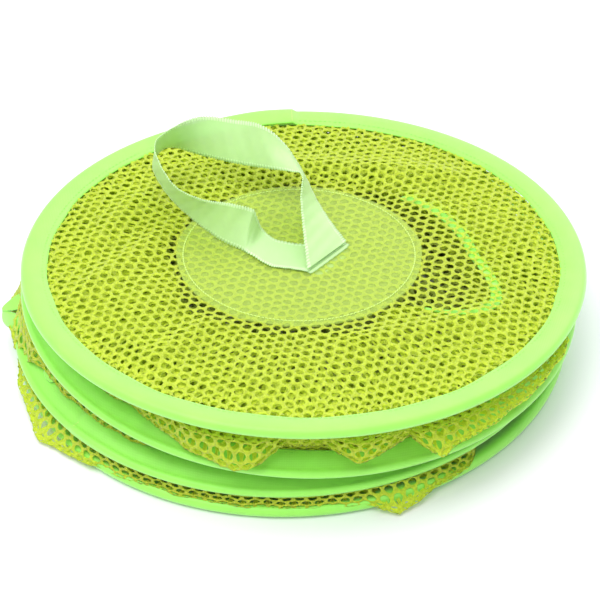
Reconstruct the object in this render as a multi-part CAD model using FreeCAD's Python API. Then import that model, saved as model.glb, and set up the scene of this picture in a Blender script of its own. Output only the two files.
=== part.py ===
import FreeCAD, Part
import math
import os

# Hanging mesh organiser with three net tiers, folded flat on a table.
# Four wire hoops in fabric tape lie stacked; net walls and floors are gathered between them.
# Origin: centre of the base hoop on the table. +Z up, the side opening's corner towards -X.
# All sizes are in millimetres and degrees.

App = FreeCAD
V = App.Vector

# --- driving dimensions ---------------------------------------------------
HOOP_R = 160.0            # outer radius of every bound hoop
BULGE_R = 3.5             # radius of the tape's rounded outer edge, over the wire
HEM_R = 1.25              # radius of the tape's thin inner hem
TAPE_WIDTH = 15.0         # radial width of the bound band
TAPE_T = 0.8              # thickness of the folded tape
WIRE_R = 1.25             # radius of the spring wire
SLEEVE_R = 2.1            # outer radius of the crimped sleeve on the wire's ends
SLEEVE_ARC = 9.0          # angle that the sleeve covers
NET_T = 2 * (HEM_R - TAPE_T)   # thickness of one layer of net, which fills the hem's slot
THREAD_T = 0.5            # thickness of a stitched thread row
SOFT_GAP = 0.5            # air between a soft piece and its neighbours

PATCH_R = 70.0            # round reinforcement patch
PATCH_T = 0.5
PATCH_CENTRE = (-2.5, 3.1)     # in the top hoop's own frame
PATCH_SEAM_INSET = 4.0

RIBBON_T = 0.8            # thickness of the hanging loop's ribbon
RIBBON_SECTIONS = 61      # cross-sections along the ribbon
TACK_LENGTH = 33.0        # stitched bar along the ribbon's sewn end
TACK_WIDTH = 2.0
TAB_LENGTH = 30.0         # ribbon ends, sewn flat under the patch
TAB_WIDTH = 12.0

WALL_R = 133.0            # radius at which the gathered walls stand
WALL_T = 1.0
WALL_TOP = 100.0          # above every hoop, before the wall is trimmed to its gap

# Each hoop: centre (x, y, z) of its mid plane, tilt about X and about Y, and how far
# the inner hem stands above the mid plane.
HOOPS = {
    "top": {"centre": (7.9, -7.4, 57.0), "tilt": (-2.9, 1.9), "hem_rise": 0.8},
    "second": {"centre": (5.3, 0.5, 35.0), "tilt": (1.7, 3.75), "hem_rise": 4.5},
    "third": {"centre": (-1.8, 2.2, 17.2), "tilt": (0.6, 0.4), "hem_rise": 4.5},
    "base": {"centre": (0.0, 0.0, BULGE_R), "tilt": (0.0, 0.0), "hem_rise": HEM_R - BULGE_R},
}

# Hanging loop: the ribbon's two edges, as (x, y) in the frame of the whole part and the
# height above the top panel. It leaves the sewn line flat, folds up on edge, turns back
# along the far side, twists once and comes down to the sewn line again.
RIBBON_EDGES = [
    ((10, -24, 2.0), (32.6, 3.4, 2.0)),
    ((0, -21, 2.0), (11, 2, 2.0)),
    ((-11, -18, 2.0), (-7, 7, 2.1)),
    ((-20, -9, 2.2), (-15, 14, 5.0)),
    ((-26, -3, 2.5), (-19, 10, 20)),
    ((-40, 8, 3.2), (-32, 9, 26.5)),
    ((-58, 30, 4.7), (-50, 18, 24.4)),
    ((-72, 50, 9.3), (-66, 33, 25.5)),
    ((-79, 68, 17), (-76, 54, 37)),
    ((-69, 77, 22.7), (-67.5, 64, 43)),
    ((-50, 71, 21), (-49.5, 73.5, 46)),
    ((-29.4, 60, 22), (-29, 70, 45.5)),
    ((-12.5, 51, 24.3), (-13, 62, 46.5)),
    ((2, 41, 28.2), (0, 62, 33)),
    ((8.8, 32, 31), (10, 53, 19)),
    ((7.7, 17, 24.2), (16.6, 36, 12)),
    ((8.6, -2.8, 13.2), (24, 16, 9.2)),
    ((10, -24, 3.2), (32.6, 3.4, 3.2)),
]

# Gathered net that hangs out between two hoops: the angles it spans, the height at which it
# leaves the gap, how far out it reaches and, where it droops outside the hoops, how far down
# and up that bag goes.
LOBES = {
    "upper": [
        {"span": (-122, -96), "shelf_z": (45.0, 55.0), "reach": 163.0},
        {"span": (-90, -71), "shelf_z": (41.0, 54.0), "reach": 162.0},
        {"span": (-66, -30), "shelf_z": (34.0, 49.0), "reach": 166.0},
    ],
    "middle": [
        {"span": (186, 214), "shelf_z": (27.5, 36.0), "reach": 168.0},
    ],
    "lower": [
        {"span": (192, 240), "shelf_z": (8.5, 12.0), "reach": 174.0, "bag_z": (2.0, 20.0)},
        {"span": (-74, -57), "shelf_z": (7.6, 10.8), "reach": 172.0, "bag_z": (2.0, 16.0)},
    ],
}
BAG_R = 162.5             # inner radius of a bag that droops outside the hoops

# Edge tape of each tier's side opening, gathered with the net.
OPENING_TAPE_T = 1.6
OPENING_TAPES = {
    "upper": {"radius": 108.0, "span": (-30, 35)},
    "middle": {"radius": 129.0, "span": (150, 205)},
    "lower": {"radius": 129.0, "span": (150, 205)},
}
OPENING_CORNER = [(-140, 29), (-140, 32.5), (-160, 32.5), (-170.5, 24), (-171.5, 14),
                  (-168.5, 14), (-165.5, 23), (-159, 29)]
OPENING_CORNER_Y = (-2.0, 8.0)

TIERS = {"upper": ("second", "top"), "middle": ("third", "second"), "lower": ("base", "third")}


# --- helpers --------------------------------------------------------------
def hoop_placement(name):
    """Placement of one hoop's own frame, its mid plane at z = 0."""
    tilt_x, tilt_y = HOOPS[name]["tilt"]
    turn = App.Rotation(V(0, 1, 0), tilt_y).multiply(App.Rotation(V(1, 0, 0), tilt_x))
    return App.Placement(V(*HOOPS[name]["centre"]), turn)


def placed(shape, name):
    """Copy of a shape, moved from a hoop's own frame to the whole part's."""
    moved = shape.copy()
    moved.Placement = hoop_placement(name).multiply(moved.Placement)
    return moved


def panel_height(x, y):
    """Height of the top panel's middle surface at (x, y) of the whole part."""
    place = hoop_placement("top")
    on_panel = place.multVec(V(0, 0, HOOPS["top"]["hem_rise"]))
    normal = place.Rotation.multVec(V(0, 0, 1))
    return on_panel.z - (normal.x * (x - on_panel.x) + normal.y * (y - on_panel.y)) / normal.z


def tape_circles(hem_rise):
    """Centres of the rounded outer edge and the inner hem, in the (radius, z) plane."""
    outer = V(HOOP_R - BULGE_R, 0, 0)
    hem = V(HOOP_R - TAPE_WIDTH + HEM_R, 0, hem_rise)
    return outer, hem


def two_circle_face(outer, outer_r, hem, hem_r):
    """Face bounded by two arcs and the two outer tangents of a large and a small circle."""
    line = outer.sub(hem)
    along = V(line.x, 0, line.z).normalize()
    across = V(-along.z, 0, along.x)
    lean = (hem_r - outer_r) / line.Length
    side = math.sqrt(1 - lean * lean)
    upper = along * lean + across * side
    lower = along * lean - across * side
    points = [outer + upper * outer_r, hem + upper * hem_r,
              hem + lower * hem_r, outer + lower * outer_r]
    edges = [
        Part.LineSegment(points[0], points[1]).toShape(),
        Part.Arc(points[1], hem - along * hem_r, points[2]).toShape(),
        Part.LineSegment(points[2], points[3]).toShape(),
        Part.Arc(points[3], outer + along * outer_r, points[0]).toShape(),
    ]
    return Part.Face(Part.Wire(edges))


def ring_of(face):
    """Full ring about Z from a face in the XZ plane."""
    return face.revolve(V(0, 0, 0), V(0, 0, 1), 360)


def disc(radius, z_middle, thickness, centre=(0.0, 0.0)):
    return Part.makeCylinder(radius, thickness, V(centre[0], centre[1], z_middle - thickness / 2))


# --- hoops ----------------------------------------------------------------
def hoop_binding(name):
    """Folded tape: a hollow band, open at the inner hem where the net is sewn in."""
    outer, hem = tape_circles(HOOPS[name]["hem_rise"])
    skin = ring_of(two_circle_face(outer, BULGE_R, hem, HEM_R))
    hollow = ring_of(two_circle_face(outer, BULGE_R - TAPE_T, hem, HEM_R - TAPE_T))
    slot = disc(hem.x, hem.z, NET_T)
    return placed(skin.cut(hollow.fuse(slot)), name)


def bent_rod(radius, start, sweep):
    """Round rod bent along the hoop, inside the tape's outer fold."""
    rod = Part.makeTorus(HOOP_R - BULGE_R, radius, V(0, 0, 0), V(0, 0, 1), 0, 360, sweep)
    rod.Placement = App.Placement(V(0, 0, 0), App.Rotation(V(0, 0, 1), start))
    return rod


def hoop_wire(name):
    """Spring wire ring, up to the sleeve that pinches its two ends."""
    return placed(bent_rod(WIRE_R, SLEEVE_ARC / 2, 360 - SLEEVE_ARC), name)


def wire_sleeve(name):
    """Crimped sleeve, pressed solid around the wire's two ends."""
    return placed(bent_rod(SLEEVE_R, -SLEEVE_ARC / 2, SLEEVE_ARC), name)


def net_disc(name):
    """Round net panel of one hoop, its edge sewn into the hem's slot."""
    outer, hem = tape_circles(HOOPS[name]["hem_rise"])
    return placed(disc(hem.x, hem.z, NET_T), name)


# --- patch and hanging loop -----------------------------------------------
def patch(side):
    """One half of the round patch: side +1 lies on the panel, -1 under it."""
    z_middle = HOOPS["top"]["hem_rise"] + side * (NET_T + PATCH_T) / 2
    return placed(disc(PATCH_R, z_middle, PATCH_T, PATCH_CENTRE), "top")


def patch_top():
    """Height of the upper patch's face in the top hoop's frame."""
    return HOOPS["top"]["hem_rise"] + NET_T / 2 + PATCH_T


def patch_stitching():
    """Round thread row on the upper patch, a little inside its edge."""
    seam_r = PATCH_R - PATCH_SEAM_INSET
    z_middle = patch_top() + THREAD_T / 2
    row = disc(seam_r, z_middle, THREAD_T, PATCH_CENTRE)
    return placed(row.cut(disc(seam_r - THREAD_T, z_middle, THREAD_T, PATCH_CENTRE)), "top")


def ribbon_point(edge_point):
    x, y, height = edge_point
    return V(x, y, panel_height(x, y) + height)


def sewn_line():
    """Ends of the line on the patch where the loop is sewn, at its hinge height."""
    height = (RIBBON_EDGES[0][0][2] + RIBBON_EDGES[-1][0][2]) / 2
    near = RIBBON_EDGES[0][0]
    far = RIBBON_EDGES[0][1]
    return (ribbon_point((near[0], near[1], height)), ribbon_point((far[0], far[1], height)))


def smooth_edge(which):
    """Evenly spaced points on a curve through one edge of the ribbon."""
    points = [ribbon_point(pair[which]) for pair in RIBBON_EDGES]
    curve = Part.BSplineCurve()
    curve.interpolate(Points=points, Parameters=[float(i) for i in range(len(points))])
    last = len(points) - 1
    return [curve.value(last * i / (RIBBON_SECTIONS - 1)) for i in range(RIBBON_SECTIONS)]


def hanging_loop():
    """Ribbon solid, lofted through thin rectangles across it."""
    low_edge = smooth_edge(0)
    high_edge = smooth_edge(1)
    sections = []
    for i in range(RIBBON_SECTIONS):
        before = max(i - 1, 0)
        after = min(i + 1, RIBBON_SECTIONS - 1)
        ahead = (low_edge[after] + high_edge[after]) - (low_edge[before] + high_edge[before])
        across = high_edge[i] - low_edge[i]
        half = ahead.cross(across).normalize() * (RIBBON_T / 2)
        corners = [low_edge[i] - half, high_edge[i] - half, high_edge[i] + half, low_edge[i] + half]
        sections.append(Part.makePolygon(corners + [corners[0]]))
    return Part.makeLoft(sections, True, True)


def sewn_frame(side_offset, z_in_top_frame):
    """Placement on the sewn line: X along it, Y to the loop's side, Z off the panel."""
    near, far = sewn_line()
    to_top = hoop_placement("top").inverse()
    start = to_top.multVec(near)
    end = to_top.multVec(far)
    angle = math.degrees(math.atan2(end.y - start.y, end.x - start.x))
    middle = V((start.x + end.x) / 2, (start.y + end.y) / 2, z_in_top_frame)
    turn = App.Rotation(V(0, 0, 1), angle)
    return App.Placement(middle + turn.multVec(V(0, side_offset, 0)), turn)


def sewn_box(length, width, thickness, side_offset, z_bottom):
    box = Part.makeBox(length, width, thickness, V(-length / 2, -width / 2, 0))
    box.Placement = sewn_frame(side_offset, z_bottom)
    return placed(box, "top")


def loop_bar_tack():
    """Close zigzag row that holds the ribbon, just beside the line it hinges on."""
    return sewn_box(TACK_LENGTH, TACK_WIDTH, THREAD_T, -TACK_WIDTH - 1.0, patch_top())


def loop_end_tabs():
    """The ribbon's two ends, passed through the net and sewn flat under the patch."""
    patch_bottom = HOOPS["top"]["hem_rise"] - NET_T / 2 - PATCH_T
    return sewn_box(TAB_LENGTH, TAB_WIDTH, RIBBON_T, 0.0, patch_bottom - RIBBON_T)


# --- gathered walls -------------------------------------------------------
def slab_between(lower, upper):
    """Space between two tilted panels, less a soft gap."""
    size = 600.0
    depth = 300.0
    above = Part.makeBox(size, size, depth,
                         V(-size / 2, -size / 2, HOOPS[lower]["hem_rise"] + NET_T / 2 + SOFT_GAP))
    below = Part.makeBox(size, size, depth,
                         V(-size / 2, -size / 2,
                           HOOPS[upper]["hem_rise"] - NET_T / 2 - SOFT_GAP - depth))
    return placed(above, lower).common(placed(below, upper))


def sector(inner_r, outer_r, z_range, span):
    """Part of a thick ring: two radii, two heights and two angles."""
    height = z_range[1] - z_range[0]
    foot = V(0, 0, z_range[0])
    outside = Part.makeCylinder(outer_r, height, foot, V(0, 0, 1), span[1] - span[0])
    shape = outside.cut(Part.makeCylinder(inner_r, height, foot))
    shape.Placement = App.Placement(V(0, 0, 0), App.Rotation(V(0, 0, 1), span[0]))
    return shape


def lobe_solid(lobe):
    """Fold of net that leaves the gap, with its drooping bag if it has one."""
    shelf = sector(WALL_R - WALL_T / 2, lobe["reach"], lobe["shelf_z"], lobe["span"])
    if "bag_z" in lobe:
        return shelf.fuse(sector(BAG_R, lobe["reach"], lobe["bag_z"], lobe["span"]))
    return shelf


def wall_net(tier):
    """Folded wall of one tier: a ring inside the hoops, and the lobes that hang out."""
    lower, upper = TIERS[tier]
    tube = sector(WALL_R - WALL_T, WALL_R, (0.0, WALL_TOP), (0, 360))
    shape = tube.common(slab_between(lower, upper))
    for lobe in LOBES[tier]:
        shape = shape.fuse(lobe_solid(lobe))
    return shape


def opening_tape(tier):
    """Edge tape of the side opening, folded in with the net."""
    lower, upper = TIERS[tier]
    radius = OPENING_TAPES[tier]["radius"]
    strip = sector(radius - OPENING_TAPE_T, radius, (0.0, WALL_TOP), OPENING_TAPES[tier]["span"])
    strip = strip.common(slab_between(lower, upper))
    if tier == "middle":
        return Part.makeCompound([strip, opening_corner()])
    return strip


def opening_corner():
    """Corner of the middle tier's edge tape that stands out at the side."""
    points = [V(x, OPENING_CORNER_Y[0], z) for x, z in OPENING_CORNER]
    face = Part.Face(Part.makePolygon(points + [points[0]]))
    return face.extrude(V(0, OPENING_CORNER_Y[1] - OPENING_CORNER_Y[0], 0))


# --- write every node -----------------------------------------------------
def all_nodes():
    nodes = {}
    for name in HOOPS:
        nodes[name + "_hoop_wire"] = hoop_wire(name)
        nodes[name + "_wire_sleeve"] = wire_sleeve(name)
        nodes[name + "_hoop_binding"] = hoop_binding(name)
        nodes[name + ("_net_panel" if name == "top" else "_net_floor")] = net_disc(name)
    nodes["patch_upper"] = patch(1)
    nodes["patch_lower"] = patch(-1)
    nodes["patch_stitching"] = patch_stitching()
    nodes["loop_bar_tack"] = loop_bar_tack()
    nodes["loop_end_tabs"] = loop_end_tabs()
    nodes["hanging_loop"] = hanging_loop()
    for tier in TIERS:
        nodes[tier + "_wall_net"] = wall_net(tier)
        nodes[tier + "_opening_tape"] = opening_tape(tier)
    return nodes


def main():
    os.makedirs("parts", exist_ok=True)
    for name, shape in all_nodes().items():
        shape.exportStep("parts/" + name + ".step")


main()
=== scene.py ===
import math

import bpy
import numpy as np
from mathutils import Matrix, Vector


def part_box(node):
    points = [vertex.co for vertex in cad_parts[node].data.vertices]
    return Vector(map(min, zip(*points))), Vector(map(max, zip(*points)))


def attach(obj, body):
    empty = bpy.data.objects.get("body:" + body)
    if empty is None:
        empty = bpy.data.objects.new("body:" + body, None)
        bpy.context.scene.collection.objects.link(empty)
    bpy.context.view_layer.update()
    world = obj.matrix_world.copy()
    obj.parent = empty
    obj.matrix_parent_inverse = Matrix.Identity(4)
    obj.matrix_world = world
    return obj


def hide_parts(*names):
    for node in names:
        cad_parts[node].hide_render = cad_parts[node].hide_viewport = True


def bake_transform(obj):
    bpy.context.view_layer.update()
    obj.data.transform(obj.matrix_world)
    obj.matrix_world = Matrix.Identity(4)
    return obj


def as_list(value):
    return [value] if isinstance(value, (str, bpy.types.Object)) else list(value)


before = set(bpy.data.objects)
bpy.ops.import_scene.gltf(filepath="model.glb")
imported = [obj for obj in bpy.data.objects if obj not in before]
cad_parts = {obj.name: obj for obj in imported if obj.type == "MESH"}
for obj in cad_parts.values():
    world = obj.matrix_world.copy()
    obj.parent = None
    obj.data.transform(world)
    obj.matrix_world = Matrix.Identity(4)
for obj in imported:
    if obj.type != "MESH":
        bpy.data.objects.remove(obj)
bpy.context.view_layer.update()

# Hanging mesh organiser, folded flat: four tape-bound hoops, net panels, gathered net walls,
# a round patch and a ribbon loop. Lengths are metres; MM turns millimetres into them.
MM = 0.001

NET_PITCH = 6.3 * MM          # distance between the middles of two holes
NET_ROW = NET_PITCH * math.sqrt(3) / 2    # distance between two rows of holes
NET_HOLE = 0.365              # hole radius, as a share of the pitch
NET_TURN = math.radians(16)   # direction of the knit on the top panel
NET_GLOW = 0.32               # share of a thread's light that comes through it
THREAD_RISE = 0.45 * MM       # how far a thread's middle stands above its edges
KNOT_RISE = 0.75 * MM         # and where three threads meet
KNIT_STRAY = 0.13 * MM        # unevenness of the knit
PANEL_R = 146.5 * MM          # radius of each round net, which ends inside the tape
SLACK_R, TAUT_R = 118 * MM, 143 * MM      # between these radii its slack fades out

HOOP_R = 160 * MM
TIER_HEIGHT = 260 * MM

PATCH_R = 70 * MM
PATCH_X, PATCH_Y = -2.5 * MM, 3.1 * MM    # the patch's middle in the top hoop's frame
RIBBON_T = 0.45 * MM

GREEN_TAPE = (0.33, 0.87, 0.09)
NET_GREEN = (0.68, 0.82, 0.03)

HOOP_NETS = {"top": "top_net_panel", "second": "second_net_floor",
             "third": "third_net_floor", "base": "base_net_floor"}
TIERS = {"upper": ("second", "top"), "middle": ("third", "second"), "lower": ("base", "third")}


# --- frame of each hoop, measured on its packed net disc -------------------
class Hoop:
    """Centre and axes of one hoop, at the middle of its sewn-in net."""

    def __init__(self, node):
        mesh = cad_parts[node].data
        points = np.array([v.co for v in mesh.vertices])
        low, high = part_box(node)
        self.centre = (np.array(low) + np.array(high)) / 2
        spread = np.linalg.svd(points - self.centre, full_matrices=False)[2]
        normal = spread[2] * np.sign(spread[2][2])
        x_axis = np.cross((0, 1, 0), normal)
        self.x = x_axis / np.linalg.norm(x_axis)
        self.y = np.cross(normal, self.x)
        self.z = normal

    def place(self, x, y, z):
        """Points of the hoop's own frame, in the frame of the whole object."""
        return (self.centre + np.multiply.outer(x, self.x) + np.multiply.outer(y, self.y)
                + np.multiply.outer(z, self.z))

    def height_at(self, x, y):
        """Height of the hoop's plane over (x, y) of the whole object."""
        return self.centre[2] - (self.z[0] * (x - self.centre[0])
                                 + self.z[1] * (y - self.centre[1])) / self.z[2]


hoops = {name: Hoop(node) for name, node in HOOP_NETS.items()}


# --- small helpers ----------------------------------------------------------
def wave(x, y, seeds, size):
    """Smooth bumps from a few crossed sine waves, about -1 to 1."""
    total = 0.0
    for k, (angle, phase) in enumerate(seeds):
        along = x * math.cos(angle) + y * math.sin(angle)
        total = total + np.sin(along * 2 * math.pi / (size * (1 + 0.37 * k)) + phase)
    return total / len(seeds)


def smooth_step(value, start, end):
    """0 before start, 1 after end, and a soft rise between them."""
    t = np.clip((value - start) / (end - start), 0, 1)
    return t * t * (3 - 2 * t)


def catmull_rom(a, b, c, d, t):
    """Point of a smooth curve, a share t of the way from b to c; a and d lie beyond them."""
    return 0.5 * (2 * b + (c - a) * t + (2 * a - 5 * b + 4 * c - d) * t ** 2
                  + (3 * b - a - 3 * c + d) * t ** 3)


def mesh_object(name, points, faces, material):
    """Smooth-shaded mesh with one material, linked to the scene."""
    mesh = bpy.data.meshes.new(name)
    mesh.from_pydata([tuple(p) for p in points], [], faces)
    mesh.update()
    mesh.validate()
    mesh.shade_smooth()
    mesh.materials.append(material)
    obj = bpy.data.objects.new(name, mesh)
    bpy.context.scene.collection.objects.link(obj)
    return obj


def grid_faces(rows, columns, wrap_rows=False, wrap_columns=False):
    """Quads over a grid of points stored row by row."""
    faces = []
    for i in range(rows if wrap_rows else rows - 1):
        for j in range(columns if wrap_columns else columns - 1):
            a = i * columns + j
            b = i * columns + (j + 1) % columns
            c = ((i + 1) % rows) * columns + (j + 1) % columns
            d = ((i + 1) % rows) * columns + j
            faces.append((a, b, c, d))
    return faces


def apply_modifiers(obj):
    """Put what the modifiers make into the object's own mesh."""
    graph = bpy.context.evaluated_depsgraph_get()
    mesh = bpy.data.meshes.new_from_object(obj.evaluated_get(graph))
    obj.modifiers.clear()
    obj.data = mesh
    return obj


def thicken(obj, thickness):
    """Give a surface a thickness, half to each side."""
    solidify = obj.modifiers.new("thickness", "SOLIDIFY")
    solidify.thickness = thickness
    solidify.offset = 0.0
    return apply_modifiers(obj)


def repaint(node, material):
    """Give a CAD piece, which keeps its shape, a material of this scene."""
    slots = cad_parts[node].data.materials
    slots.clear()
    slots.append(material)


# --- materials ---------------------------------------------------------------
class Paint:
    """Builds one procedural material, node by node."""

    def __init__(self, name):
        self.material = bpy.data.materials.new(name)
        self.material.use_nodes = True
        self.tree = self.material.node_tree
        self.shader = self.tree.nodes["Principled BSDF"]

    def node(self, kind, **values):
        """New node; values that aren't its own settings go to its sockets."""
        made = self.tree.nodes.new(kind)
        for key, value in values.items():
            if hasattr(made, key):
                setattr(made, key, value)
            else:
                made.inputs[key].default_value = value
        return made

    def link(self, source, target):
        self.tree.links.new(source, target)

    def coordinates(self):
        return self.node("ShaderNodeTexCoord").outputs["Object"]

    def ramp(self, source, dark, light):
        """Colour that goes from dark to light over the middle of the source's range."""
        ramp = self.node("ShaderNodeValToRGB")
        stops = ramp.color_ramp.elements
        stops[0].position, stops[0].color = 0.3, (*dark, 1)
        stops[1].position, stops[1].color = 0.7, (*light, 1)
        self.link(source, ramp.inputs["Fac"])
        return ramp.outputs["Color"]

    def bump(self, source, strength, distance):
        bump = self.node("ShaderNodeBump")
        bump.inputs["Strength"].default_value = strength
        bump.inputs["Distance"].default_value = distance
        self.link(source, bump.inputs["Height"])
        self.link(bump.outputs["Normal"], self.shader.inputs["Normal"])

    def set(self, **values):
        for key, value in values.items():
            self.shader.inputs[key.replace("_", " ")].default_value = value


def shade(colour, factor):
    """The colour made darker or lighter, at most white."""
    return tuple(min(c * factor, 1.0) for c in colour)


def weave(paint, threads_per_metre):
    """Height of a plain weave: bands in two directions, multiplied."""
    vector = paint.coordinates()
    height = None
    for direction in ("X", "Y"):
        bands = paint.node("ShaderNodeTexWave", bands_direction=direction)
        bands.inputs["Scale"].default_value = threads_per_metre / 6.28
        bands.inputs["Distortion"].default_value = 0.6
        paint.link(vector, bands.inputs["Vector"])
        if height is None:
            height = bands.outputs["Fac"]
        else:
            mix = paint.node("ShaderNodeMath", operation="MULTIPLY")
            paint.link(height, mix.inputs[0])
            paint.link(bands.outputs["Fac"], mix.inputs[1])
            height = mix.outputs["Value"]
    return height


def cloth_colour(paint, colour, spread, scale):
    """Base colour with soft, uneven dye."""
    noise = paint.node("ShaderNodeTexNoise", Scale=scale, Detail=4.0)
    paint.link(paint.coordinates(), noise.inputs["Vector"])
    tint = paint.ramp(noise.outputs["Fac"], shade(colour, 1 - spread), shade(colour, 1 + spread))
    paint.link(tint, paint.shader.inputs["Base Color"])


def let_light_through(paint, colour, share):
    """Threads glow a little with the light that falls on their far side."""
    glow = paint.node("ShaderNodeBsdfTranslucent")
    glow.inputs["Color"].default_value = (*colour, 1)
    blend = paint.node("ShaderNodeMixShader")
    blend.inputs["Fac"].default_value = share
    paint.link(paint.shader.outputs["BSDF"], blend.inputs[1])
    paint.link(glow.outputs["BSDF"], blend.inputs[2])
    paint.link(blend.outputs["Shader"], paint.tree.nodes["Material Output"].inputs["Surface"])


def tape_material():
    """Smooth woven binding with a soft shine."""
    paint = Paint("binding_tape")
    cloth_colour(paint, GREEN_TAPE, 0.06, 60.0)
    paint.bump(weave(paint, 2200), 0.25, 0.0002)
    paint.set(Roughness=0.5, Specular_IOR_Level=0.75, Sheen_Weight=0.55, Sheen_Roughness=0.45)
    return paint.material


def net_material(name, factor=1.0, glow=NET_GLOW):
    """Fuzzy threads, uneven in colour, that let some light through. The factor paints light or
    shade into the colour: under 1 it darkens it, over 1 it lightens it.
    """
    paint = Paint(name)
    cloth_colour(paint, shade(NET_GREEN, factor), 0.22, 700.0)
    fibre = paint.node("ShaderNodeTexNoise", Scale=1100.0, Detail=3.0)
    paint.link(paint.coordinates(), fibre.inputs["Vector"])
    paint.bump(fibre.outputs["Fac"], 0.9, 0.0008)
    paint.set(Roughness=0.5, Sheen_Weight=0.45)
    let_light_through(paint, shade(NET_GREEN, factor), glow)
    return paint.material


def patch_material():
    """Fine voile that the knit shows through."""
    paint = Paint("patch_voile")
    cloth_colour(paint, (0.58, 0.80, 0.11), 0.06, 500.0)
    paint.bump(weave(paint, 2600), 0.3, 0.0002)
    paint.set(Roughness=0.55, Alpha=0.36, Sheen_Weight=0.3)
    return paint.material


def ribbon_material(name, colour, alpha):
    """Sheer ribbon with a fine weave."""
    paint = Paint(name)
    cloth_colour(paint, colour, 0.03, 90.0)
    paint.bump(weave(paint, 3000), 0.12, 0.00015)
    paint.set(Roughness=0.45, Alpha=alpha, Sheen_Weight=0.3, Sheen_Roughness=0.3)
    return paint.material


def thread_material():
    """Sewing thread of the patch and of the tapes' ends."""
    paint = Paint("pale_thread")
    cloth_colour(paint, (0.62, 0.84, 0.22), 0.08, 900.0)
    paint.set(Roughness=0.6)
    return paint.material


def metal_material():
    """Spring steel of the hidden wires and their sleeves."""
    paint = Paint("spring_steel")
    cloth_colour(paint, (0.62, 0.63, 0.65), 0.06, 400.0)
    paint.set(Metallic=1.0, Roughness=0.32)
    return paint.material


TAPE = tape_material()
NET = net_material("net_knit")
# Wall nets: the same knit painted a little lighter, as painted light.
NET_WALL_PAINTED_LIGHT = net_material("net_knit_wall_painted_light", 1.05)
# Floor nets: the same knit painted half as dark, with little light let through, as painted shade
# for the depth under the top panel.
NET_FLOOR_PAINTED_SHADE = net_material("net_knit_floor_painted_shade", 0.50, 0.04)
PATCH = patch_material()
RIBBON = ribbon_material("ribbon_voile", (0.60, 0.88, 0.40), 0.72)
RIBBON_EDGE = ribbon_material("ribbon_selvedge", (0.66, 0.92, 0.48), 0.95)
THREAD = thread_material()
METAL = metal_material()


# --- net: real threads around real holes ------------------------------------
KEY_STEP = 1000003            # more than any net's steps along v: each corner has its own key


def hex_net(name, cells, place, material, wrap=0.0):
    """Knitted net as a mesh. cells are hole middles (u, v) on the flat cloth, place turns flat
    (u, v) into points, and wrap is the cloth's length where its two ends meet, or 0."""
    angles = np.radians(np.arange(12) * 30)
    corner = np.where(np.arange(12) % 2 == 1, 1 / math.sqrt(3), 0.5) * NET_PITCH
    ring = np.stack([corner * np.cos(angles), corner * np.sin(angles)], 1)
    hole = NET_HOLE * NET_PITCH * np.stack([np.cos(angles), np.sin(angles)], 1)
    outer = (cells[:, None, :] + ring[None]).reshape(-1, 2)
    inner = (cells[:, None, :] + hole[None]).reshape(-1, 2)

    step_u, step_v = NET_PITCH / 4, NET_PITCH / (4 * math.sqrt(3))
    key_u = np.round(outer[:, 0] / step_u).astype(int)
    key_v = np.round(outer[:, 1] / step_v).astype(int)
    if wrap:
        key_u = key_u % int(round(wrap / step_u))
    keys = key_u * KEY_STEP + key_v
    _, first, shared = np.unique(keys, return_index=True, return_inverse=True)
    flat = np.concatenate([outer[first], inner])
    crest = np.where(first % 2 == 1, KNOT_RISE, 0.75 * THREAD_RISE)
    rise = np.concatenate([crest, np.full(len(inner), -THREAD_RISE)])

    stray = np.random.default_rng(len(cells)).normal(0, KNIT_STRAY, (len(flat), 3))
    small = 0.3 * MM
    points = place(flat[:, 0], flat[:, 1])
    along = place(flat[:, 0] + small, flat[:, 1]) - points
    across = place(flat[:, 0], flat[:, 1] + small) - points
    normal = np.cross(along, across)
    length = np.maximum(np.linalg.norm(normal, axis=1, keepdims=True), 1e-12)
    points = points + normal / length * rise[:, None] + stray

    faces = []
    shared = shared.reshape(-1, 12)
    for c in range(len(cells)):
        base = len(first) + 12 * c
        for k in range(12):
            n = (k + 1) % 12
            faces.append((int(shared[c, k]), int(shared[c, n]), base + n, base + k))
    return mesh_object(name, points, faces, material), flat


def lattice(half_width, half_height):
    """Hole middles that cover a flat rectangle about the origin, given half of each side."""
    rows = int(half_height / NET_ROW) + 2
    columns = int(half_width / NET_PITCH) + 2
    j, i = np.mgrid[-rows:rows + 1, -columns:columns + 1]
    u = (i + (j % 2) / 2) * NET_PITCH
    v = j * NET_ROW
    return np.stack([u.ravel(), v.ravel()], 1)


def turned(u, v, angle):
    """Flat coordinates turned about the origin."""
    return u * math.cos(angle) - v * math.sin(angle), u * math.sin(angle) + v * math.cos(angle)


def knit_pull(x, y):
    """Uneven pull of hand-sewn net: how far a stitch strays from its place."""
    broad_x = wave(x, y, [(0.2, 1.1), (1.7, 0.2), (2.6, 2.2)], 43 * MM)
    broad_y = wave(x, y, [(0.8, 3.1), (2.1, 1.2), (2.9, 0.1)], 37 * MM)
    fine_x = wave(x, y, [(0.5, 0.4), (1.9, 2.6)], 13 * MM)
    fine_y = wave(x, y, [(1.2, 5.4), (2.8, 1.6)], 11 * MM)
    return (1.5 * broad_x + 0.45 * fine_x) * MM, (1.5 * broad_y + 0.45 * fine_y) * MM


def net_disc(name, hoop, height, turn, material):
    """Round net panel; height(x, y) is how far it stands off its hoop's plane."""
    cells = lattice(PANEL_R, PANEL_R)
    cells = cells[np.hypot(cells[:, 0], cells[:, 1]) < PANEL_R - 0.1 * NET_PITCH]

    def place(u, v):
        x, y = turned(u, v, turn)
        pull_x, pull_y = knit_pull(x, y)
        x, y = x + pull_x, y + pull_y
        r = np.maximum(np.hypot(x, y), 1e-9)
        pull = np.minimum(1.0, PANEL_R / r)
        x, y = x * pull, y * pull
        slack = 1 - smooth_step(r, SLACK_R, TAUT_R)
        return hoop.place(x, y, height(x, y) * slack)

    return hex_net(name, cells, place, material)[0]


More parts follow.
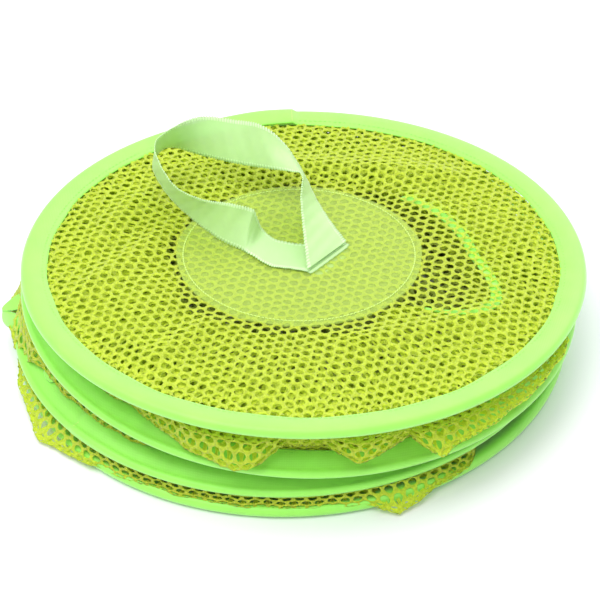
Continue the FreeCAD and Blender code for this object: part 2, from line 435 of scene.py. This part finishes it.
# Soft pleats of the top panel: two ends of each crest, its half width and its height, in
# millimetres in the top hoop's frame.
PLEATS = [((-78, 25), (-138, -50), 9, 3.2), ((-52, -62), (-100, -112), 8, 2.8),
          ((-98, 60), (-120, 12), 7, 2.2), ((-5, 98), (92, 84), 10, 3.0),
          ((30, -80), (95, -60), 8, 2.0)]


def pleat_height(x, y):
    """Height that the pleats add, each a soft crest along a straight line."""
    total = 0.0
    for (ax, ay), (bx, by), width, height in PLEATS:
        length = math.hypot(bx - ax, by - ay)
        dx, dy = (bx - ax) / length, (by - ay) / length
        along = np.clip((x / MM - ax) * dx + (y / MM - ay) * dy, 0, length)
        off = np.hypot(x / MM - ax - along * dx, y / MM - ay - along * dy)
        total = total + height * MM * np.exp(-(off / width) ** 2)
    return total


def top_height(x, y):
    """The top panel: shallow pulls and pleats, flat where the patch is sewn."""
    pulls = wave(x, y, [(0.3, 0.5), (1.9, 2.0), (2.7, 4.1)], 62 * MM)
    away = smooth_step(np.hypot(x - PATCH_X, y - PATCH_Y), 60 * MM, 95 * MM)
    return away * (1.5 * MM * pulls + 0.9 * MM + pleat_height(x, y))


def second_height(x, y):
    """The second floor: slack and crumpled."""
    crumple = wave(x, y, [(0.9, 1.0), (2.2, 0.4), (0.1, 3.0), (1.5, 5.0)], 38 * MM)
    return (2.5 * crumple - 3.5) * MM


def third_height(x, y):
    """The third floor: slack, with broad bumps."""
    crumple = wave(x, y, [(1.2, 2.0), (2.6, 1.4), (0.5, 0.3)], 50 * MM)
    return (3.5 * crumple - 1.0) * MM


def base_height(x, y):
    """The base floor: lies nearly flat on the table."""
    crumple = wave(x, y, [(0.4, 2.0), (1.7, 0.1), (2.9, 3.3)], 60 * MM)
    return (0.8 * crumple + 0.4) * MM


def build_panels():
    """Round net of every hoop: the top panel and the three floors."""
    looks = {"top": (top_height, NET_TURN, NET), "second": (second_height, 0.9, NET_FLOOR_PAINTED_SHADE),
             "third": (third_height, 0.2, NET_FLOOR_PAINTED_SHADE), "base": (base_height, 1.3, NET_FLOOR_PAINTED_SHADE)}
    for name, (height, turn, material) in looks.items():
        piece = net_disc(name + "_net", hoops[name], height, turn, material)
        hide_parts(HOOP_NETS[name])
        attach(piece, name + "_hoop")


# --- bound hoops --------------------------------------------------------------
# Section of the folded tape: (distance in from the outer edge, height) in millimetres about
# the hoop's mid plane at the wire, going once round from the outer edge over the top.
CROWNED = [(0, 0), (0.4, 1.7), (1.6, 3.0), (3.6, 3.55), (6.5, 3.5), (9.5, 3.0), (12.3, 2.3),
           (14.2, 1.6), (15.0, 0.8), (14.4, 0.1), (12, -0.4), (8.5, -1.3), (5.6, -2.6),
           (3.2, -3.1), (1.3, -2.2)]
ROLLED = [(0, -0.6), (0.1, 0.7), (0.9, 1.7), (2.2, 2.2), (3.8, 2.25), (5.6, 2.8), (8.5, 4.1),
          (11.5, 5.1), (14, 5.55), (15.0, 4.7), (14.2, 3.7), (11, 2.9), (7.5, 1.3),
          (4.6, -1.6), (2.8, -3.0), (1.0, -2.2)]
STANDING = [(0, 0), (0.4, 1.7), (1.7, 2.9), (3.6, 3.2), (6.5, 2.4), (10, 0.8), (13, -0.4),
            (15.0, -2.0), (14.4, -3.2), (12, -3.45), (8.5, -3.5), (4.5, -3.5), (2.0, -3.0),
            (0.6, -1.8)]
SECTIONS = {"top": CROWNED, "second": ROLLED, "third": ROLLED, "base": STANDING}
SEAM_ANGLE, SEAM_TURN = 90, 65    # degrees: the top hoop's tape end, and from hoop to hoop
LAP_T = 1.5                   # how much thicker the tape is where its ends overlap
LAP_STEP = 0.5                # degrees over which the overlap steps up
LAP_FADE = (6.0, 20.0)        # degrees from the step, between which it fades out
PUCKER = 0.22                 # height of the faint puckers near the hem
WANDER = 0.5                  # how far the inner edge strays
# Height in each section of the net that is sewn in, in millimetres.
HEM_RISE = {"top": 0.8, "second": 4.5, "third": 4.5, "base": -2.25}


def rounded_section(points, steps=3):
    """Closed curve through the section's points."""
    p = np.array(points, float)
    out = []
    for i in range(len(p)):
        a, b, c, d = p[i - 1], p[i], p[(i + 1) % len(p)], p[(i + 2) % len(p)]
        out += [catmull_rom(a, b, c, d, k / steps) for k in range(steps)]
    return np.array(out)


def hoop_tape(name, seam_angle, phase):
    """Tape swept round the hoop, with faint puckers and the overlap where its ends meet."""
    hoop = hoops[name]
    section = rounded_section(SECTIONS[name])
    turns = 360
    angle = np.radians(np.arange(turns) * 360.0 / turns)
    inward = section[:, 0]
    overlap = np.degrees(angle) - seam_angle
    lap = np.clip(overlap / LAP_STEP, 0, 1) * (1 - smooth_step(overlap, *LAP_FADE))
    pucker = np.sin(angle * 41 + phase) * np.sin(angle * 13 + 2 * phase)
    hem = np.exp(-((inward - 11.5) / 3.0) ** 2)
    over = np.sign(section[None, :, 1] - 0.2)
    grow = (LAP_T * lap[:, None] * np.maximum(over, 0)
            + PUCKER * pucker[:, None] * hem[None] * over)
    wander = WANDER * np.sin(17 * angle + phase) * np.sin(5 * angle + 2 * phase)
    inner = smooth_step(inward, 10.0, 15.0)
    r = HOOP_R - inward[None] * MM + (0.3 * lap[:, None] + wander[:, None] * inner[None]) * MM
    z = section[None, :, 1] - HEM_RISE[name] + grow
    z = z * MM
    points = hoop.place(r * np.cos(angle[:, None]), r * np.sin(angle[:, None]), z)
    faces = grid_faces(turns, len(section), wrap_rows=True, wrap_columns=True)
    piece = mesh_object(name + "_tape", points.reshape(-1, 3), faces, TAPE)
    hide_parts(name + "_hoop_binding")
    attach(piece, name + "_hoop")
    return piece


def band_top(name, inset):
    """Height of the band's upper side over the net's plane, at a distance in from the band's
    outer edge; both in millimetres."""
    section = rounded_section(SECTIONS[name])
    top = section[:len(section) // 2 + 2]
    return np.interp(inset, top[:, 0], top[:, 1]) - HEM_RISE[name]


HEM_STITCHES = 300
HEM_STITCH_INSET = 12.2       # from the band's outer edge, in millimetres
HEM_STITCH_LIFT = 0.16        # height of the row above the band, to which the arch adds
HEM_STITCH_HALF = 0.18        # half of a stitch's width, in millimetres
HEM_STITCH_SHARE = 0.8        # share of the row's pitch that one stitch takes up
# Arch of one stitch: (share of its length, height in millimetres).
HEM_ARCH = ((0.0, -0.15), (0.2, 0.1), (0.5, 0.16), (0.8, -0.15))


def hem_stitches(name):
    """A row of short thread stitches round the band, near its inner hem."""
    hoop = hoops[name]
    z_top = band_top(name, HEM_STITCH_INSET) + HEM_STITCH_LIFT
    points, faces = [], []
    for k in range(HEM_STITCHES):
        start = 2 * math.pi * k / HEM_STITCHES
        for t, lift in HEM_ARCH:
            a = start + t * HEM_STITCH_SHARE * 2 * math.pi / HEM_STITCHES
            for side in (-HEM_STITCH_HALF, HEM_STITCH_HALF):
                r = HOOP_R - (HEM_STITCH_INSET + side) * MM
                points.append(hoop.place(r * math.cos(a), r * math.sin(a), (z_top + lift) * MM))
        base = 8 * k
        for s in range(3):
            a = base + 2 * s
            faces.append((a, a + 1, a + 3, a + 2))
    piece = mesh_object(name + "_hem_stitches", points, faces, TAPE)
    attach(piece, name + "_hoop")


END_STITCHES = 9
END_STITCH_PITCH = 1.4        # in millimetres, as are the two insets and the lift
END_STITCH_INSETS = (1.6, 2.5)
END_STITCH_LIFT = 0.12
END_STITCH_TURNS = (1.1, 1.25)    # degrees from the end of the tape to a stitch's two sides


def end_stitches(name, seam_angle):
    """Stitches across the band, beside the end of the tape."""
    hoop = hoops[name]
    points, faces = [], []
    for k in range(END_STITCHES):
        for first_inset in END_STITCH_INSETS:
            inset = first_inset + END_STITCH_PITCH * k
            z = band_top(name, inset) + LAP_T + END_STITCH_LIFT
            for turn in END_STITCH_TURNS:
                a = math.radians(seam_angle + turn)
                r = HOOP_R - inset * MM
                points.append(hoop.place(r * math.cos(a), r * math.sin(a), z * MM))
        faces.append((4 * k, 4 * k + 1, 4 * k + 3, 4 * k + 2))
    piece = mesh_object(name + "_end_stitches", points, faces, THREAD)
    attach(piece, name + "_hoop")


def build_hoops():
    """Tape and stitches of every hoop; each hoop's tape ends at its own angle."""
    for k, name in enumerate(HOOP_NETS):
        seam_angle = SEAM_ANGLE + SEAM_TURN * k
        hoop_tape(name, seam_angle, phase=1.3 * k)
        hem_stitches(name)
        end_stitches(name, seam_angle)
        repaint(name + "_hoop_wire", METAL)
        repaint(name + "_wire_sleeve", METAL)


# --- gathered walls -------------------------------------------------------------
# Each wall is gathered into folds, from its lower hoop to its upper hoop. WALL_KNOTS are the
# shares of its height at which it turns: fold in, out to the gap, lobe, out to the gap, fold in.
WALL_KNOTS = [0, 0.155, 0.31, 0.375, 0.455, 0.51, 0.755, 1.0]
WALL_LEVELS = [0.0, 0.14, 0.34, 0.45, 0.64, 0.66, 0.90, 1.0]    # height in the gap at each
LOBE_SHARE = 0.375            # the knot at which the net hangs out
LOW_FOLD_R = 103.0            # radius of the fold below the lobes
BAND_R = 159.0                # radius at which the net leaves the gap between two bands
WALL_SEEDS = {"upper": 0.0, "middle": 2.1, "lower": 4.2}
SEWN_R = 145.5                # radius at which the walls are sewn to the hoops, in millimetres
# How far in the wall's upper fold reaches, as (angle in degrees, radius in millimetres).
DEEP_FOLD = {
    "upper": [(-180, 76), (-160, 74), (-140, 80), (-120, 74), (-90, 70), (-64, 74), (-50, 68),
              (-39, 70), (-35, 92), (-28, 110), (-22, 115), (-14, 110), (1, 98), (24, 95),
              (40, 92), (54, 85), (70, 76), (90, 80), (120, 78), (150, 80), (180, 76)],
    "middle": [(-180, 96), (-110, 88), (-40, 101), (20, 92), (90, 104), (140, 90), (180, 96)],
    "lower": [(-180, 92), (-120, 101), (-50, 90), (10, 103), (80, 95), (150, 100), (180, 92)],
}
# Lower edge of the net that hangs out between two hoops: (angle, radius, height above the
# floor) in degrees and millimetres. Where the radius is under the band's it stays inside.
LOBES = {
    "upper": [(-180, 147, 44), (-128, 147, 46), (-123, 151, 46), (-112, 158, 41), (-104, 161, 36),
              (-101, 160, 39), (-95, 149, 46), (-87, 149, 46), (-84, 156, 44), (-81, 159, 39.5),
              (-77, 158, 42), (-70, 154, 47), (-68.5, 160, 43), (-65.5, 167, 36.5),
              (-62, 166, 40), (-52, 166, 44), (-40, 165.5, 47.5), (-28, 163, 50),
              (-23, 150, 52), (20, 148, 53), (60, 150, 52), (110, 147, 50), (180, 147, 44)],
    "middle": [(-180, 165, 25), (-174, 165, 21), (-168, 163, 17.5), (-162, 158, 18),
               (-157, 153, 20), (-143, 150.5, 22), (-128, 150, 23), (-120, 147, 23),
               (-40, 148, 28), (30, 149, 30), (100, 148, 26), (170, 148, 27), (176, 160, 27),
               (180, 165, 25)],
    "lower": [(-180, 150, 10), (-172, 157, 9), (-164, 163, 8.5), (-155, 165.5, 6),
              (-146, 170, 2.5), (-142, 166, 2.5), (-137, 163, 3), (-130, 160, 4.5),
              (-120, 158.5, 6.5), (-90, 158.5, 6.5), (-77, 160, 5), (-71.5, 171, 2),
              (-65, 165, 5), (-55, 162, 7), (-49, 152, 9), (-20, 150, 9), (60, 152, 9),
              (130, 150, 9), (180, 150, 10)],
}


def around_table(angle, table, column):
    """A column of one of the tables above, at each angle."""
    degrees = (np.degrees(angle) + 180) % 360 - 180
    rows = np.array(table, float)
    return np.interp(degrees, rows[:, 0], rows[:, column])


def ease(knots, values, share):
    """Values between the knots, slowing down at each knot so that folds are round."""
    i = np.clip(np.searchsorted(knots, share, side="right") - 1, 0, len(knots) - 2)
    knots = np.array(knots)
    t = (share - knots[i]) / (knots[i + 1] - knots[i])
    t = (1 - np.cos(np.pi * np.clip(t, 0, 1))) / 2
    row = np.arange(len(share))
    return values[i, row] * (1 - t) + values[i + 1, row] * t


def wall_shape(tier, angle, share):
    """Radius, level (0 at the lower hoop, 1 at the upper) and the pull of the hanging edge."""
    seed = WALL_SEEDS[tier]
    # In the radii, each sine's factors are its height in millimetres and its waves per turn.
    out = around_table(angle, LOBES[tier], 1) + 0.5 * np.sin(31 * angle) + 0.4 * np.sin(53 * angle)
    deep = around_table(angle, DEEP_FOLD[tier], 1) + 2.0 * np.sin(9 * angle + seed)
    low_fold = LOW_FOLD_R + 6 * np.sin(3 * angle + seed) + 4 * np.sin(7 * angle + 1.7 * seed)
    if tier == "upper":       # its lower fold stays outside the deep one
        low_fold = np.maximum(low_fold, np.minimum(deep + 14, 130))
    sewn = np.full_like(out, SEWN_R)
    neck = sewn + 1.0
    shoulder = np.minimum(out, BAND_R) - 1.5
    radii = np.array([sewn, low_fold, neck, out, shoulder, neck, deep, sewn])
    level = np.interp(share, WALL_KNOTS, WALL_LEVELS)
    lift = np.interp(share, [0.70, 0.76, 0.90, 1.0], [0, 0.03, 0.02, 0])
    ripple = 0.012 * np.sin(11 * angle + 9 * share) * np.sin(np.pi * share)
    at_lobe = np.zeros_like(radii)
    at_lobe[WALL_KNOTS.index(LOBE_SHARE)] = 1
    return (ease(WALL_KNOTS, radii, share) * MM, np.clip(level + lift + ripple, 0, 1),
            ease(WALL_KNOTS, at_lobe, share))


def hang_between(piece, tier):
    """Puts the piece's transform into its own mesh. It looks up the tier's two hoops but does
    nothing more with them."""
    lower, upper = (hoops[n] for n in TIERS[tier])
    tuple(lower.centre)
    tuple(upper.centre)
    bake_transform(piece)


WALL_CLEARANCE = 1.5 * MM     # from a wall to the nets above and below it
FLOOR_CLEARANCE = 1.2 * MM    # from a wall's middle to the table
LOBE_DROP = 16 * MM           # how far under the wall's foot a lobe may hang, outside the tape
LOBE_HEADROOM = 4.6 * MM      # how far a lobe's edge stays under the wall's top


def wall_net(tier):
    """Net wall of one tier, wrapped round and folded into the gap between its hoops."""
    lower, upper = (hoops[n] for n in TIERS[tier])
    columns = int(round(2 * math.pi * SEWN_R * MM / NET_PITCH))
    around = columns * NET_PITCH
    rows = int(TIER_HEIGHT / NET_ROW)
    tall = rows * NET_ROW
    j, i = np.mgrid[0:rows, 0:columns]
    u = (i + (j % 2) / 2) * NET_PITCH
    v = (j + 0.5) * NET_ROW
    cells = np.stack([u.ravel(), v.ravel()], 1)

    def place(u, v):
        angle = u / around * 2 * math.pi
        share = np.clip(v / tall, 0, 1)
        radius, level, hang = wall_shape(tier, angle, share)
        x = lower.centre[0] * (1 - level) + upper.centre[0] * level + radius * np.cos(angle)
        y = lower.centre[1] * (1 - level) + upper.centre[1] * level + radius * np.sin(angle)
        low = lower.height_at(x, y) + WALL_CLEARANCE
        high = upper.height_at(x, y) - WALL_CLEARANCE
        z = low + (high - low) * level
        edge = around_table(angle, LOBES[tier], 2) * MM
        past_tape = smooth_step(around_table(angle, LOBES[tier], 1), 156, 163)
        edge = np.clip(edge, low + 0.5 * MM - LOBE_DROP * past_tape, high - LOBE_HEADROOM)
        z = z * (1 - hang) + edge * hang
        return np.stack([x, y, np.maximum(z, FLOOR_CLEARANCE)], -1)

    piece, flat = hex_net(tier + "_wall", cells, place, NET_WALL_PAINTED_LIGHT, wrap=around)
    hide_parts(tier + "_wall_net")
    hang_between(piece, tier)
    return piece, around


def strip(name, left, right, material, thickness):
    """Soft strip between two lists of points."""
    points = [point for pair in zip(left, right) for point in pair]
    piece = mesh_object(name, points, grid_faces(len(left), 2), material)
    rounding = piece.modifiers.new("round", "SUBSURF")
    rounding.levels = 3
    apply_modifiers(piece)
    return thicken(piece, thickness)


# Tapes of the middle and lower openings: radius in millimetres, angles from end to end in
# degrees, and how high each lies in its gap, from 0 to 1.
OPENING_R = 128
OPENING_ANGLES = (152, 203)
OPENING_LEVELS = {"middle": 0.26, "lower": 0.30}
DEEP_TAPE_ANGLES = (-37, 47)
TAPE_T = 0.9 * MM
# Inner and outer edge of the upper opening's tape: (distance from the fold, height above the
# panel) in millimetres.
DEEP_TAPE_INNER, DEEP_TAPE_OUTER = (-4.0, -1.7), (2.5, -2.2)
DEEP_TAPE_T = 0.8 * MM


def deep_opening_tape():
    """Edge tape of the upper opening, flat under the panel along the wall's deepest fold."""
    top = hoops["top"]
    a = np.radians(np.linspace(*DEEP_TAPE_ANGLES, 30))
    fold = around_table(a, DEEP_FOLD["upper"], 1) * MM
    edges = []
    for offset, height in (DEEP_TAPE_INNER, DEEP_TAPE_OUTER):
        r = fold + offset * MM
        edges.append(top.place(r * np.cos(a), r * np.sin(a), np.full_like(a, height * MM)))
    piece = strip("upper_opening_edge", *edges, TAPE, DEEP_TAPE_T)
    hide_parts("upper_opening_tape")
    hang_between(piece, "upper")
    return piece


def opening_tape(tier):
    """Edge tape of the side opening, folded in with the wall."""
    lower, upper = (hoops[n] for n in TIERS[tier])
    left, right = [], []
    for k, degrees in enumerate(np.linspace(*OPENING_ANGLES, 9)):
        a = math.radians(degrees)
        r = (OPENING_R + 2.0 * math.sin(1.9 * k)) * MM
        x, y = r * math.cos(a), r * math.sin(a)
        low = lower.height_at(x, y) + 2 * MM
        high = upper.height_at(x, y) - 2 * MM
        z = low + (high - low) * OPENING_LEVELS[tier]
        half = min(4 * MM, (high - low) * 0.3)
        left.append((x, y, z - half))
        right.append((x * 0.98, y * 0.98, z + half))
    piece = strip(tier + "_opening_edge", left, right, TAPE, TAPE_T)
    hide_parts(tier + "_opening_tape")
    hang_between(piece, tier)
    return piece


# The opening's edge tape that stands out at the side: each facet's two long edges.
CORNER_FACETS = {
    "corner_tape_top": (
        [(-146, 2, 39), (-156, -5, 37), (-163, -6, 32.5), (-167.5, -6, 27.5)],
        [(-144, -13, 36), (-154, -15, 33.5), (-161, -12, 30.5), (-166.5, -8.5, 27)]),
    "corner_tape_front": (
        [(-167.5, -6, 27.2), (-161, -13, 29.6), (-154, -18, 32), (-146, -24, 34)],
        [(-168, -7, 18), (-163, -15, 19.5), (-155, -22, 23), (-147, -28, 26)]),
    "corner_tape_back": ([(-167.3, -4, 27.2), (-162, 3, 27), (-153, 8, 27)],
                         [(-168, -4, 18.5), (-163, 4, 18.5), (-154, 9, 19.5)]),
    "wall_tab": ([(-128, -50, 27), (-136, -55, 26.5), (-141.5, -58, 21.5)],
                 [(-122, -62, 27), (-130, -67, 26.5), (-135.5, -70, 22)]),
}


def corner_tape():
    """Folded corner of the middle opening's edge tape, and the small tab beside it."""
    made = []
    for name, (a, b) in CORNER_FACETS.items():
        a, b = ([Vector(point) * MM for point in edge] for edge in (a, b))
        piece = strip(name, a, b, TAPE, TAPE_T)
        hang_between(piece, "middle")
        made.append(piece)
    return made


def build_walls():
    """Walls and the tapes of their openings."""
    tapes = {"upper": [deep_opening_tape()],
             "middle": [opening_tape("middle")] + corner_tape(),
             "lower": [opening_tape("lower")]}
    for tier in TIERS:
        wall, around = wall_net(tier)
        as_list(tapes[tier])


# --- patch ------------------------------------------------------------------------
PATCH_LIFT = 0.95 * MM        # from the panel's middle to either layer
PATCH_STITCHES = 190
PATCH_STITCH_INSET = 4 * MM
PATCH_STITCH_LIFT = 1.25 * MM
PATCH_STITCH_HALF = 0.28      # half of a stitch's width, in millimetres
# Arch of one stitch: (share of the pitch, height in millimetres).
PATCH_ARCH = ((0.0, -0.2), (0.25, 0.12), (0.55, 0.12), (0.8, -0.2))


def patch_disc(name, lift, node):
    """Round voile patch that lies on the net and shows the knit through it."""
    top = hoops["top"]
    rings, around = 36, 144
    r = np.linspace(0.0, PATCH_R, rings + 1)[1:]
    angle = np.arange(around) * 2 * math.pi / around
    edge = 1 + 0.004 * np.sin(5 * angle + 0.4) + 0.003 * np.sin(11 * angle)
    x = PATCH_X + np.outer(r, np.cos(angle) * edge)
    y = PATCH_Y + np.outer(r, np.sin(angle) * edge)
    press = 0.18 * wave(x, y, [(0.2, 0), (1.3, 1), (2.4, 2)], 22 * MM) * MM
    rim = 0.5 * MM * smooth_step(np.outer(r, np.ones(around)), PATCH_R - 1.2 * MM, PATCH_R)
    z = lift + press - np.sign(lift) * rim + top_height(x, y)
    grid = top.place(x, y, z).reshape(-1, 3)
    points = np.concatenate([grid, [top.place(PATCH_X, PATCH_Y, lift)]])
    faces = grid_faces(rings, around, wrap_columns=True)
    faces += [(k, (k + 1) % around, len(points) - 1)[::-1] for k in range(around)]
    piece = mesh_object(name, points, faces, PATCH)
    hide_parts(node)
    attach(piece, "top_hoop")
    return piece


def stitch_ring(name, radius, z, count, node):
    """Round row of raised stitches."""
    top = hoops["top"]
    points, faces = [], []
    for k in range(count):
        for t, lift in PATCH_ARCH:
            a = 2 * math.pi * (k + t) / count
            for side in (-PATCH_STITCH_HALF, PATCH_STITCH_HALF):
                r = radius + side * MM
                points.append(top.place(PATCH_X + r * math.cos(a), PATCH_Y + r * math.sin(a),
                                        z + lift * MM))
        base = 8 * k
        for s in range(3):
            a = base + 2 * s
            faces.append((a, a + 2, a + 3, a + 1))
    piece = mesh_object(name, points, faces, THREAD)
    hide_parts(node)
    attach(piece, "top_hoop")
    return piece


def build_patch():
    """Both layers of the patch, above and below the net, and the stitches through them."""
    patch_disc("patch_top_layer", PATCH_LIFT, "patch_upper")
    patch_disc("patch_under_layer", -PATCH_LIFT, "patch_lower")
    stitch_ring("patch_stitches", PATCH_R - PATCH_STITCH_INSET, PATCH_STITCH_LIFT,
                PATCH_STITCHES, "patch_stitching")


# --- hanging loop --------------------------------------------------------------------
# The ribbon's two edges: (x, y) of the whole object in millimetres and the height above the
# top panel. It leaves the sewn line flat, folds up on edge, turns back along the far side,
# twists once and comes down to the sewn line again.
RIBBON_EDGES = [
    ((10, -24, 2.0), (32.6, 3.4, 2.0)),
    ((0, -21, 2.0), (11, 2, 2.0)),
    ((-11, -18, 2.0), (-7, 7, 2.1)),
    ((-20, -9, 2.2), (-15, 14, 5.0)),
    ((-24.5, -4.5, 2.4), (-17.3, 11.5, 13)),
    ((-26, -3, 2.5), (-19, 10, 20)),
    ((-28.5, -1, 2.6), (-21, 9.6, 22.6)),
    ((-40, 8, 3.2), (-32, 9, 26.5)),
    ((-58, 30, 4.7), (-50, 18, 24.4)),
    ((-72, 50, 9.3), (-66, 33, 25.5)),
    ((-79, 68, 17), (-76, 54, 37)),
    ((-69, 77, 22.7), (-67.5, 64, 43)),
    ((-50, 71, 21), (-49.5, 73.5, 46)),
    ((-29.4, 60, 22), (-29, 70, 45.5)),
    ((-12.5, 51, 24.3), (-13, 62, 46.5)),
    ((2, 41, 28.2), (0, 62, 33)),
    ((8.8, 32, 31), (10, 53, 19)),
    ((7.7, 17, 24.2), (16.6, 36, 12)),
    ((8.6, -2.8, 13.2), (24, 16, 9.2)),
    ((10, -24, 3.2), (32.6, 3.4, 3.2)),
]
RIBBON_STEPS = 1300
RIBBON_ACROSS = 14
PICOT_PITCH = 1.7 * MM
PICOT_DEPTH = 0.7 * MM
RIBBON_CURL = 0.35 * MM
RIBBON_RIPPLE = 0.10 * MM


def edge_curve(which, steps):
    """Points on a smooth curve through one edge of the ribbon, as many from each to the next."""
    top = hoops["top"]
    p = []
    for pair in RIBBON_EDGES:
        x, y, height = (value * MM for value in pair[which])
        p.append((x, y, top.height_at(x, y) + height))
    p = np.array(p)
    p = np.vstack([2 * p[0] - p[1], p, 2 * p[-1] - p[-2]])
    t = np.linspace(1, len(p) - 2 - 1e-9, steps)
    i = t.astype(int)
    f = (t - i)[:, None]
    return catmull_rom(p[i - 1], p[i], p[i + 1], p[np.minimum(i + 2, len(p) - 1)], f)


def hanging_loop():
    """Ribbon with a slight curl and picots along both edges."""
    low, high = edge_curve(0, RIBBON_STEPS), edge_curve(1, RIBBON_STEPS)
    middle = (low + high) / 2
    run = np.concatenate([[0], np.cumsum(np.linalg.norm(np.diff(middle, axis=0), axis=1))])
    ahead = np.gradient(middle, axis=0)
    across = high - low
    normal = np.cross(ahead, across)
    normal /= np.maximum(np.linalg.norm(normal, axis=1, keepdims=True), 1e-9)
    scallop = PICOT_DEPTH * (1 - np.cos(2 * math.pi * run / PICOT_PITCH)) / 2
    outward = across / np.linalg.norm(across, axis=1, keepdims=True)
    points = []
    for k in range(RIBBON_ACROSS + 1):
        share = k / RIBBON_ACROSS
        curl = RIBBON_CURL * math.sin(math.pi * share)
        ripple = RIBBON_RIPPLE * np.sin(2 * math.pi * run / (9 * MM) + 5 * share)
        line = low + across * share + normal * (curl + ripple)[:, None]
        if k == 0:
            line = line - outward * scallop[:, None]
        if k == RIBBON_ACROSS:
            line = line + outward * scallop[:, None]
        points.append(line)
    grid = np.stack(points, 1).reshape(-1, 3)
    faces = grid_faces(RIBBON_STEPS, RIBBON_ACROSS + 1)
    piece = mesh_object("ribbon_loop", grid, faces, RIBBON)
    piece.data.materials.append(RIBBON_EDGE)
    for index, polygon in enumerate(piece.data.polygons):
        column = index % RIBBON_ACROSS
        picot = (run[index // RIBBON_ACROSS] / PICOT_PITCH) % 1 < 0.6
        polygon.material_index = 1 if picot and column in (0, RIBBON_ACROSS - 1) else 0
    thicken(piece, RIBBON_T)
    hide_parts("hanging_loop")
    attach(piece, "loop")
    return piece


def sewn_line_point(along, across, height):
    """Point by the line the loop is sewn down on, in millimetres from its middle."""
    top = hoops["top"]
    a, b = (np.array(end[:2], float) for end in RIBBON_EDGES[0])
    line = (b - a) / np.linalg.norm(b - a)
    x, y = ((a + b) / 2 + line * along + np.array((line[1], -line[0])) * across) * MM
    return np.array((x, y, top.height_at(x, y) + height * MM))


# The ribbon's turned-under end, in millimetres: where it starts on the sewn line, its length,
# how far from the middle its corners begin, how long they are, and how far it reaches out.
HEM_START, HEM_LENGTH = -18.0, 36.5
HEM_CORNER, HEM_CORNER_RUN = 15.0, 3.5
HEM_REACH = 2.4
HEM_T = 0.35 * MM


def loop_tack():
    """Turned-under ribbon ends along the sewn line."""
    points = []
    steps = 24
    for k in range(steps + 1):
        along = HEM_START + HEM_LENGTH * k / steps
        end = max(abs(along) - HEM_CORNER, 0) / HEM_CORNER_RUN
        reach = HEM_REACH - 0.8 * end + 0.2 * math.sin(2.1 * k)
        for across, height in ((-1.2, 1.2), (0.2, 1.4), (1.4, 1.4), (reach, 1.25), (reach, 0.95)):
            points.append(sewn_line_point(along, across, height))
    hem = mesh_object("ribbon_end_hem", points, grid_faces(steps + 1, 5), RIBBON)
    thicken(hem, HEM_T)
    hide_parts("loop_bar_tack")
    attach(hem, "top_hoop")


# --- stage, light and camera -----------------------------------------------------------
CAMERA_ELEVATION = math.radians(38.7)
CAMERA_DISTANCE = 1.227
CAMERA_TARGET = Vector((0, 0, 0.020))
CAMERA_ROLL = math.radians(2.1)
CAMERA_LENS = 126.4
CAMERA_SHIFT = (0.0147, 0.0022)
FLOOR_COLOUR = (0.93, 0.92, 0.96)
FLOOR_Z = -0.2 * MM
SKY_COLOUR = (0.93, 0.96, 1.0)
SKY_STRENGTH = 0.80


def build_stage():
    """Plain pale floor, just under the base hoop."""
    bpy.ops.mesh.primitive_plane_add(size=80, location=(0, 0, FLOOR_Z))
    floor = bpy.context.object
    floor.name = "studio_floor"
    paint = Paint("studio_white")
    paint.set(Roughness=0.6)
    paint.shader.inputs["Base Color"].default_value = (*FLOOR_COLOUR, 1)
    floor.data.materials.append(paint.material)


def area_light(name, location, size, power):
    """Round soft light that faces the middle of the scene."""
    light = bpy.data.lights.new(name, "AREA")
    light.shape = "DISK"
    light.size = size
    light.energy = power
    obj = bpy.data.objects.new(name, light)
    obj.location = location
    obj.rotation_mode = "QUATERNION"
    obj.rotation_quaternion = (-Vector(location)).to_track_quat("-Z", "Y")
    bpy.context.scene.collection.objects.link(obj)


def build_light():
    """Even studio light with a soft key from the front left and a fill from behind."""
    world = bpy.data.worlds.new("studio")
    world.use_nodes = True
    sky = world.node_tree.nodes["Background"]
    sky.inputs["Color"].default_value = (*SKY_COLOUR, 1)
    sky.inputs["Strength"].default_value = SKY_STRENGTH
    bpy.context.scene.world = world
    area_light("key", (-0.35, -0.35, 1.4), 1.3, 16)
    area_light("fill", (0.6, 1.0, 1.1), 1.4, 9)
    bpy.context.scene.view_settings.view_transform = "Standard"


def build_camera():
    """Camera in front of and above the object, rolled a little."""
    camera = bpy.data.cameras.new("camera")
    camera.lens = CAMERA_LENS
    camera.sensor_width = 36
    camera.shift_x, camera.shift_y = CAMERA_SHIFT
    obj = bpy.data.objects.new("camera", camera)
    bpy.context.scene.collection.objects.link(obj)
    back = Vector((0, -math.cos(CAMERA_ELEVATION), math.sin(CAMERA_ELEVATION)))
    right = Vector((1, 0, 0))
    up = back.cross(right)
    turned_right = right * math.cos(CAMERA_ROLL) - up * math.sin(CAMERA_ROLL)
    turned_up = right * math.sin(CAMERA_ROLL) + up * math.cos(CAMERA_ROLL)
    axes = Matrix((turned_right, turned_up, back)).transposed().to_4x4()
    obj.matrix_world = Matrix.Translation(CAMERA_TARGET + back * CAMERA_DISTANCE) @ axes
    bpy.context.scene.camera = obj


build_hoops()
build_panels()
build_walls()
build_patch()
hanging_loop()
loop_tack()
repaint("loop_end_tabs", RIBBON)
build_stage()
build_light()
build_camera()
